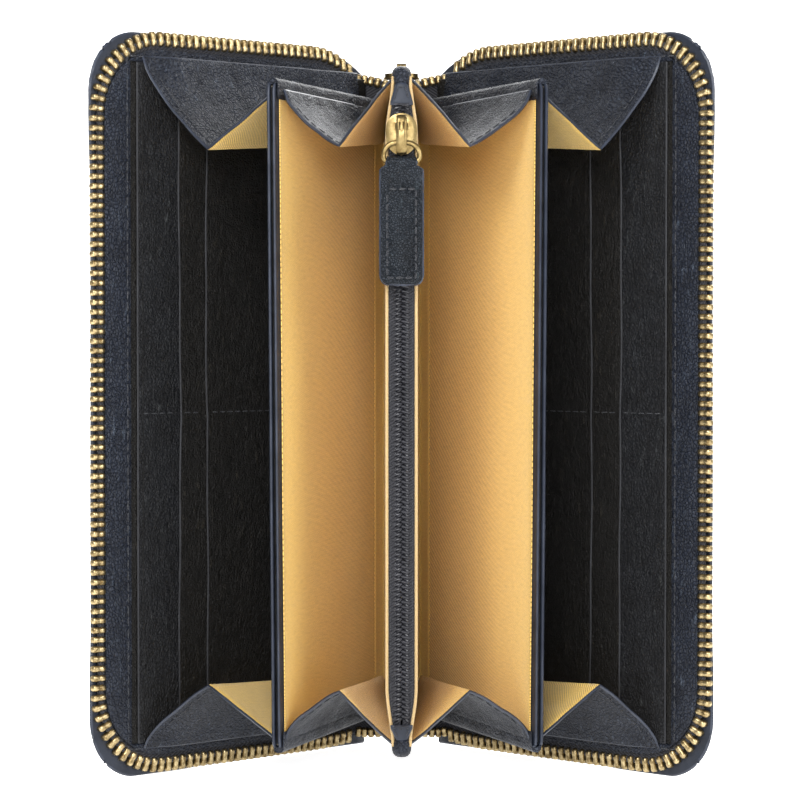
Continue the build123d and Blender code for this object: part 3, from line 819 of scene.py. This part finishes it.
# ------------------------------------------------------------- dividers
def make_divider(side):
    """Outer leather, core, inner leather and twill, with bound top and bottom ends."""
    name = side_name(side)
    body = name + "_divider"
    place = on_divider(side)
    shape = outline(DIVIDER_DEPTH, DIVIDER_LOW, DIVIDER_HIGH, 2.2, 3.0)
    panel(name + "_divider_outer_skin", place, shape, (7.55, 6.75),
          (NAVY, SMOOTH, EDGE), "navy_leather", body, [name + "_divider_outer_leather"],
          ripple=0.12)
    panel(name + "_divider_stiffener", place,
          outline(DIVIDER_DEPTH - 0.5, DIVIDER_LOW + 0.4, DIVIDER_HIGH - 0.4, 2.0, 3.0),
          (6.15, 6.65), (BOARD, BOARD, DARK), "board", body, [name + "_divider_core"])
    panel(name + "_divider_inner_skin", place,
          outline(DIVIDER_DEPTH - 0.1, DIVIDER_LOW, DIVIDER_HIGH, 2.2, 3.0),
          (5.35, 6.1), (SMOOTH, SMOOTH, EDGE), "navy_leather", body,
          [name + "_divider_inner_leather"])
    lining = panel(name + "_divider_twill", place,
                   outline(DIVIDER_DEPTH - 2.6, DIVIDER_LOW + 0.3, DIVIDER_HIGH - 0.3, 1.0, 3.0),
                   (4.95, 5.28), (TWILL, TWILL, TWILL), "twill_lining", body,
                   [name + "_divider_lining"], ripple=0.10, net=(40, 70))
    form = Form()
    for top in (True, False):
        edge = DIVIDER_HIGH if top else DIVIDER_LOW
        sign = 1 if top else -1
        section = [(4.72, -4.3), (4.6, -3.6), (4.7, -0.6), (4.9, 0.5), (5.6, 1.15), (6.6, 1.2),
                   (7.4, 0.6), (7.62, -0.5), (7.64, -3.0), (7.58, -3.8), (7.56, -3.0),
                   (7.5, -0.4), (5.0, -0.2), (4.92, -3.6)]
        rows, uv = [], []
        for i in range(61):
            depth = 5.5 + 76.6 * i / 60
            lift = 0.08 * noise.noise(Vector((depth * 0.4, side, sign)))
            rows.append([place(layer, depth, edge + sign * (h + lift)) for layer, h in section])
            uv.append([(depth, h + layer) for layer, h in section])
        form.grid(rows, uv=uv, wrap=True, caps=True)
        path = [place(4.62, 6 + 75 * k / 40, edge - sign * 2.9) for k in range(41)]
        stitches(form, path, mat=1, radius=0.18)
    form.build(name + "_divider_seam_strips", (NAVY, THREAD), "navy_leather", body,
               [name + "_divider_end_bindings"])


# ------------------------------------------------------------- gussets
def make_gusset(side, where, inner):
    """A leather V between two panels; its fold runs from the spine out to the mouth."""
    name = side_name(side) + ("_inner" if inner else "_outer")
    top = where == "top"
    if inner:
        near, far = on_pocket(side), on_divider(side)
        near_layer, far_layer = POCKET_HALF + 0.35, 4.75
        near_z = POCKET_HIGH - 1.2 if top else POCKET_LOW + 1.2
        far_z = DIVIDER_HIGH - 2.0 if top else DIVIDER_LOW + 2.0
        near_mouth, far_mouth = 81.0, 80.5
        near_bend, far_bend = 1.1, 0.62
        bodies = ("root", side_name(side) + "_divider")
    else:
        near, far = on_divider(side), on_cover(side)
        near_layer, far_layer = 8.0, 9.9
        near_z = DIVIDER_HIGH - 2.0 if top else DIVIDER_LOW + 2.0
        far_z = HEIGHT - MARGIN_HIGH - 2.2 if top else MARGIN_HIGH + 2.2
        near_mouth, far_mouth = 80.5, 84.0
        near_bend, far_bend = 1.0, 0.72
        bodies = (side_name(side) + "_divider", side_name(side) + "_cover")
    fold_mouth = FOLD_TOP if top else FOLD_LOW
    fold_spine = FOLD_TOP_SPINE if top else FOLD_LOW_SPINE

    def surface(s, t):
        s = 0.08 + 0.92 * s
        t = t if (side > 0) == top else 1 - t
        share = 2 * t if t < 0.5 else 2 - 2 * t
        mouth = near_mouth + (far_mouth - near_mouth) * t
        if not inner:
            mouth -= 1.5 * share
        a = near(near_layer, near_mouth * s, 0.0)
        layer = far_layer
        if not inner:
            layer -= 1.65 * (1 - smooth((far_mouth * s - 73.5) / 8.0))
        b = far(layer, far_mouth * s, 0.0)
        p = a.lerp(b, t)
        edge_z = near_z if t < 0.5 else far_z
        bend = near_bend if t < 0.5 else far_bend
        fold_z = fold_spine + (fold_mouth - fold_spine) * s
        p.z = edge_z + (fold_z - edge_z) * share ** (bend if s > 0.3 else 1.0)
        puff = noise.noise(Vector((s * 5, t * 6, side * 3 + top)))
        p.z += 0.5 * puff * share * (1 - share) * 4
        return p

    form = Form()
    form.skin(surface, 30, 32, 0.8, (0, 1, 2), size=(80, 60), swell=0.5)
    seam = []
    for k in range(60):
        t = 0.06 + 0.88 * k / 59
        seam.append(surface(0.965, t) + Vector((0, 0, 0.15 if top else -0.15)))
    stitches(form, seam, mat=3, radius=0.15, long=1.9)
    made = form.build("%s_gusset_%s_leather" % (name, where), (NAVY, TWILL, EDGE, THREAD),
                      "navy_leather", None, ["%s_gusset_%s" % (name, where)])
    middle = near(near_layer, 78, near_z), far(far_layer, 78, near_z)
    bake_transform(made)


# ------------------------------------------------------------- coin pocket
def make_valley(side):
    """The twill that runs from a divider round the valley beside the coin pocket."""
    name = side_name(side)
    near, far = on_pocket(side), on_divider(side)

    def surface(s, t):
        z = POCKET_LOW + 1 + (1 - t if side > 0 else t) * (POCKET_HIGH - POCKET_LOW - 3)
        start, stop = near(4.15, 12.0, z), far(5.14, 8.0, z)
        knee_a, knee_b = near(4.1, -1.5, z), far(5.1, -0.5, z)
        return (start * (1 - s) ** 3 + knee_a * (3 * s * (1 - s) ** 2)
                + knee_b * (3 * s * s * (1 - s)) + stop * s ** 3)

    form = Form()
    form.skin(surface, 16, 40, 0.3, (0, 0, 0), size=(24, 168))
    made = form.build(name + "_valley_twill", (TWILL,), "twill_lining")
    near(4.15, 12.0, 90.0) * 0.001
    far(5.14, 8.0, 90.0) * 0.001
    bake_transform(made)


def make_pocket():
    """The coin pocket: walls, zip tapes and coil, floor, ends, tabs and corner loops."""
    for side, name in ((-1, "left"), (1, "right")):
        place = on_pocket(side)
        form = Form()
        lip = [place(3.72, POCKET_MOUTH - 1.1, POCKET_LOW + 1.0 + 170 * k / 60)
               for k in range(61)]
        form.tube(lip, 0.42, 8, mat=3)
        wall = panel(name + "_pocket_twill_wall", place,
                     outline(POCKET_MOUTH - 1.8, POCKET_LOW, POCKET_HIGH, 2.0, -4.2),
                     (3.9, 3.0), (TWILL, TWILL, CREAM, CREAM), "twill_lining", "root",
                     [name + "_pocket_wall"], ripple=0.08, net=(40, 70), form=form)
        form = Form()
        tape_y = FOLD_Y - COIN_TAPE - 0.5

        def tape(s, t):
            z = POCKET_LOW + 3 + (1 - t if side < 0 else t) * (POCKET_HIGH - POCKET_LOW - 6)
            x = side * (0.45 + (3.1 * pinch(POCKET_MOUTH, z) - 0.45) * s)
            return Vector((x, tape_y + 0.25 * s, z))

        form.skin(tape, 8, 60, 0.45, (0, 0, 0), size=(2.5, 166))
        line = [Vector((side * 2.7 * pinch(POCKET_MOUTH, 14 + 164 * k / 80), tape_y + 0.12,
                        14 + 164 * k / 80)) for k in range(81)]
        stitches(form, line, mat=1, radius=0.15, long=1.6, gap=0.6)
        form.build(name + "_coin_tape", (WEBBING, THREAD), "zip_tape", "root",
                   [name + "_coin_zip_tape"])
        form = Form()
        centre_y = tape_y - 0.62
        helix = []
        turns = int((ZIP_HIGH - ZIP_LOW) / COIL_PITCH)
        for k in range(turns * COIL_SIDES):
            a = 2 * pi * k / COIL_SIDES
            z = ZIP_LOW + 0.5 + COIL_PITCH * k / COIL_SIDES + (0.5 * COIL_PITCH if side > 0 else 0)
            helix.append(Vector((side * (0.92 + 0.92 * cos(a)), centre_y + 0.30 * sin(a),
                                 z - 0.45 * cos(a))))
        form.tube(helix, 0.29, 5)
        form.build(name + "_coin_coil", (COIL,), "nylon_coil", "root",
                   [name + "_coin_zip_coil"])
    form = Form()
    form.skin(lambda s, t: Vector((-2.85 + 5.7 * s, FOLD_Y + 3.5,
                                   POCKET_LOW + 0.2 + t * (POCKET_HIGH - POCKET_LOW - 0.4))),
              4, 50, 0.8, (0, 0, 0), size=(5.7, 170))
    form.build("pocket_floor_twill", (TWILL,), "twill_lining", "root", ["pocket_floor"])
    form = Form()
    for low in (POCKET_LOW + 0.1, POCKET_HIGH - 1.0):
        form.skin(lambda s, t, low=low: Vector((
            (5.7 * t - 2.85) * pinch(82.0 * s, low + 0.9), FOLD_Y + 3.2 - 82.0 * s,
            low + 0.9)), 30, 4, 0.8, (0, 0, 0), size=(82, 5.7))
    form.build("pocket_end_strips", (NAVY,), "navy_leather", "root", ["pocket_end_seams"])
    form = Form()
    front = FOLD_Y - COIN_TAPE - 0.5
    for low, high, wide_low, wide_high in ((POCKET_LOW + 3, ZIP_LOW - 0.4, 1.3, 2.7),
                                           (ZIP_HIGH + 0.4, POCKET_HIGH - 3, 2.7, 1.3)):
        form.skin(lambda s, t: Vector(((2 * s - 1) * (wide_low + (wide_high - wide_low) * t),
                                       front - 1.25 + 0.25 * (1 - 2 * s) ** 2,
                                       low + (high - low) * t)),
                  8, 8, 0.9, (0, 0, 1), size=(5, 5))
        seam = [Vector((x * 0.7, front - 1.35, low + (high - low) * q))
                for x, q in ((-wide_low, 0.15), (-wide_high, 0.85), (wide_high, 0.85),
                             (wide_low, 0.15))]
        stitches(form, seam, mat=2, long=1.2, gap=0.4, radius=0.13)
    form.build("coin_zip_end_tabs", (SMOOTH, EDGE, THREAD), "navy_leather", "root",
               ["pocket_end_tabs"])
    form = Form()
    for middle, sign in ((POCKET_HIGH - 1.4, 1), (POCKET_LOW + 1.4, -1)):
        rows = []
        for i in range(15):
            v = -1 + 2 * i / 14
            ring = []
            grow = max(1 - abs(v) ** 2.6, 0.0) ** 0.45
            for k in range(20):
                cx, cy = squarish(2 * pi * k / 20, 0.75)
                ring.append(Vector((2.5 * grow * cx, FOLD_Y - POCKET_MOUTH + 3.6
                                    + 4.4 * v, middle + sign * 0.5 + sign * 2.8 * grow * cy
                                    + 0.12 * sin(v * 5))))
            rows.append(ring)
        form.grid(rows, wrap=True, caps=True)
    form.build("pocket_corner_loops", (NAVY,), "navy_leather", "root", ["pocket_end_loops"])


# ------------------------------------------------------------- pulls and slider
def make_pull(name, cad, body, long):
    """Two layers of leather folded round the ring, edge-painted and stitched."""
    low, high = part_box(cad)
    x = (low[0] + high[0]) * 500
    y = (low[1] + high[1]) * 500
    top = high[2] * 1000 - 1.3
    half, neck, thick = 5.3, 3.7, 2.2
    form = Form()

    def edge_half(z_down):
        """Half width at a distance below the ring's bar."""
        widen = neck + (half - neck) * smooth((z_down - 1.0) / 1.1)
        over = z_down - (long - 2.2)
        if over > 0:
            widen -= 2.2 - sqrt(max(2.2 ** 2 - over ** 2, 0.0))
        return widen

    def face_point(sign):
        def surface(s, t):
            down = long * (0.5 - 0.5 * cos(pi * t)) * 0.999
            wide = edge_half(down)
            u = sin(pi / 2 * (1 - 2 * s))
            crown = 0.12 * (1 - u * u) + 0.05 * noise.noise(Vector((u * 3, down * 0.3, sign)))
            loop = 0.0 if down > 2.0 else 0.25 * (1 - down / 2.0)
            return Vector((x + sign * wide * u, y - sign * (thick / 2 + crown + loop), top - down))
        return surface

    for sign in (1, -1):
        form.skin(face_point(sign), 14, 40, thick / 2 - 0.03, (0, 1, 1), size=(11, long),
                  swell=0.35)

    def loop_round(deep, high):
        """The leather's loop over the ring's bar, as rows across its width."""
        return [[Vector((x + neck * (i / 4 - 1), y + deep * sin(2 * pi * k / 14),
                         top + high * cos(2 * pi * k / 14))) for k in range(14)]
                for i in range(9)]

    outside = form.grid(loop_round(1.42, 1.292), 0, wrap=True)
    inside = form.grid(loop_round(0.95, 0.95), 0, wrap=True)
    for i in (0, 8):
        for k in range(14):
            j = (k + 1) % 14
            form.face((outside[i][k], outside[i][j], inside[i][j], inside[i][k]), 1)
    inset = 1.7
    start = 7.0
    for sign in (1, -1):
        yy = y - sign * (thick / 2 + 0.3)
        line = [Vector((x - half + inset, yy, top - start)),
                Vector((x + half - inset, yy, top - start)),
                Vector((x + half - inset, yy, top - long + inset)),
                Vector((x - half + inset, yy, top - long + inset)),
                Vector((x - half + inset, yy, top - start))]
        stitches(form, line, mat=2, radius=0.3, long=1.7, gap=0.6)
    form.build(name, (PULL, EDGE, THREAD), "navy_leather", body, [cad])


def make_slider():
    """The coin zip's slider: a domed round plate, a second plate behind, and an arch."""
    low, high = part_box("coin_slider")
    x = (low[0] + high[0]) * 500
    z = (low[2] + high[2]) * 500
    face = low[1] * 1000
    back = high[1] * 1000
    form = Form()
    half_high = (high[2] - low[2]) * 500
    plate_y = face + 2.3

    def plate(y_front, thick, half_wide, dome):
        rings = []
        for share, level in ((0.0, 1.0), (0.45, 0.96), (0.75, 0.8), (0.92, 0.45), (1.0, 0.05),
                             (1.0, -0.35), (0.94, -1.0), (0.0, -1.0)):
            ring = []
            for k in range(32):
                a = 2 * pi * k / 32
                bulge = 1.0 + 0.10 * max(sin(a), 0.0) - 0.05 * cos(2 * a)
                ring.append(Vector((x + half_wide * share * cos(a) * bulge,
                                    y_front - dome * level if level > 0
                                    else y_front + thick * -level,
                                    z + half_high * share * sin(a))))
            rings.append(ring)
        form.grid(rings, wrap=True)

    plate(plate_y + 0.35, 0.9, 4.2, 0.3)
    plate(back - 1.0, 0.9, 2.6, 0.2)
    form.skin(lambda s, t: Vector((x - 0.26 + 0.52 * s, plate_y + 0.5,
                                   z + 0.6 + 2.6 * t)), 2, 4, -(back - plate_y - 1.0),
              (0, 0, 0))
    rise = plate_y + 0.25 - face

    def bridge(s, t):
        a = pi * (1 - t)
        return Vector((x + 1.0 - 2.0 * s, plate_y + 0.25 - (rise - 0.05) * abs(sin(a)) ** 0.4,
                       z - 0.2 + (half_high - 0.9) * cos(a)))

    form.skin(bridge, 4, 30, 0.62, (0, 0, 0), swell=0.5)
    form.build("coin_slider_gold", (GOLD,), "pale_gold", "coin_slider_body", ["coin_slider"],
               sharp=50)


make_spine()
for each in (-1, 1):
    make_cover(each)
    make_divider(each)
    make_valley(each)
    for where in ("top", "bottom"):
        make_gusset(each, where, True)
        make_gusset(each, where, False)
make_zip_bridges()
make_pocket()
make_slider()
make_pull("coin_pull_tab", "coin_pull_leather", "coin_pull_body", 31.0)
make_pull("main_pull_tab", "main_pull_leather", "main_pull_body", 38.0)

for name, finish_material in (("coin_pull_ring", GOLD), ("main_pull_ring", GOLD),
                              ("main_slider", GOLD), ("main_zip_stop", GOLD),
                              ("coin_zip_stops", BLACKENED)):
    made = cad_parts[name]
    made.data.materials.clear()
    made.data.materials.append(finish_material)
    for polygon in made.data.polygons:
        polygon.material_index = 0
